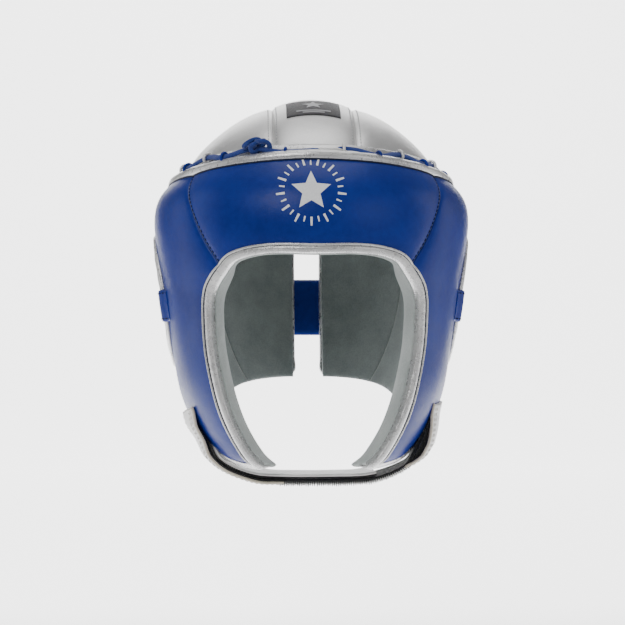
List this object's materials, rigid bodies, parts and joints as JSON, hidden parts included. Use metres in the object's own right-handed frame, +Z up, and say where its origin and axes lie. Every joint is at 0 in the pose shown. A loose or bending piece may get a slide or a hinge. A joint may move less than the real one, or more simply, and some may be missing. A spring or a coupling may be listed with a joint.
{
  "type": "boxing headgear",
  "caption": "Open-face padded boxing headgear with cheek and ear pads, a crown pad, flexing rear wings with a closing strap, and a peel-off chin strap.",
  "frame": {"origin": "middle of the head cavity at the height of the brow, where the head's girth is largest", "axes": "+Z up through the crown, -Y out through the face opening, +X towards the wearer's left ear"},
  "size_m": [0.2134, 0.2431, 0.254],
  "materials": {
    "blue_leather": "semi-gloss grained leather, royal blue",
    "silver_leather": "metallic silver leather, satin",
    "white_leather": "white leather, semi-gloss",
    "foam": "closed-cell foam, matte",
    "lining": "grey-green suede",
    "hook_loop": "black hook-and-loop tape",
    "lace": "blue woven lace",
    "label": "dark woven label"
  },
  "bodies": {
    "headgear": {"chin_strap_root": "white_leather", "chin_strap_root_hook": "hook_loop", "crown_binding": "silver_leather", "crown_foam": "foam", "crown_label": "label", "crown_lace": "lace", "crown_left_shell": "silver_leather", "crown_lining": "lining", "crown_middle_shell": "silver_leather", "crown_right_shell": "silver_leather", "face_binding": "silver_leather", "face_piping": "silver_leather", "forehead_foam": "foam", "forehead_lining": "lining", "forehead_shell": "blue_leather", "inner_strap_loop_root": "hook_loop", "inner_strap_root": "white_leather", "left_ear_band": "blue_leather", "left_ear_foam": "foam", "left_ear_lining": "lining", "left_ear_piping": "silver_leather", "left_ear_shell": "silver_leather", "left_hem_binding": "silver_leather", "left_side_foam": "foam", "left_side_lining": "lining", "left_side_shell": "blue_leather", "right_ear_band": "blue_leather", "right_ear_foam": "foam", "right_ear_lining": "lining", "right_ear_piping": "silver_leather", "right_ear_shell": "silver_leather", "right_hem_binding": "silver_leather", "right_side_foam": "foam", "right_side_lining": "lining", "right_side_shell": "blue_leather", "rim_binding": "silver_leather"},
    "rear_wing_left": {"rear_strap_root": "blue_leather", "rear_wing_left_binding": "silver_leather", "rear_wing_left_foam": "foam", "rear_wing_left_lining": "lining", "rear_wing_left_shell": "silver_leather"},
    "rear_wing_right": {"rear_loop_patch": "hook_loop", "rear_wing_right_binding": "silver_leather", "rear_wing_right_foam": "foam", "rear_wing_right_lining": "lining", "rear_wing_right_shell": "silver_leather"},
    "rear_strap": {"rear_strap": "blue_leather", "rear_strap_hook": "hook_loop"},
    "chin_strap": {"chin_strap": "white_leather", "chin_strap_hook": "hook_loop"},
    "chin_strap_tip": {"chin_strap_tip": "white_leather", "chin_strap_tip_hook": "hook_loop"},
    "inner_strap": {"inner_strap": "white_leather", "inner_strap_loop": "hook_loop"}
  },
  "joints": [
    {"name": "rear_wing_left_flex", "type": "hinge", "parent": "headgear", "child": "rear_wing_left", "pos_m": [0.097, 0.052, -0.015], "axis": [0, 0, -1], "range_deg": [0, 15]},
    {"name": "rear_wing_right_flex", "type": "hinge", "parent": "headgear", "child": "rear_wing_right", "pos_m": [-0.097, 0.052, -0.015], "axis": [0, 0, 1], "range_deg": [0, 15]},
    {"name": "rear_strap_peel", "type": "hinge", "parent": "rear_wing_left", "child": "rear_strap", "pos_m": [0.046, 0.1031, -0.03], "axis": [0, -0.2983, -0.9545], "range_deg": [0, 120]},
    {"name": "chin_strap_peel", "type": "hinge", "parent": "headgear", "child": "chin_strap", "pos_m": [0.0735, -0.032, -0.1295], "axis": [0, -1, 0], "range_deg": [0, 80]},
    {"name": "chin_strap_tip_unbend", "type": "hinge", "parent": "chin_strap", "child": "chin_strap_tip", "pos_m": [-0.0735, -0.032, -0.1295], "axis": [0, -1, 0], "range_deg": [0, 60]},
    {"name": "inner_strap_drop", "type": "hinge", "parent": "headgear", "child": "inner_strap", "pos_m": [-0.0697, -0.032, -0.1277], "axis": [0, 1, 0], "range_deg": [0, 16]}
  ],
  "couplings": [
    {"joint": "rear_wing_right_flex", "follows": "rear_wing_left_flex", "ratio": 1},
    {"joint": "rear_strap_peel", "follows": "rear_wing_left_flex", "ratio": 8},
    {"joint": "chin_strap_tip_unbend", "follows": "chin_strap_peel", "ratio": 0.75},
    {"joint": "inner_strap_drop", "follows": "chin_strap_peel", "ratio": 0.2}
  ]
}
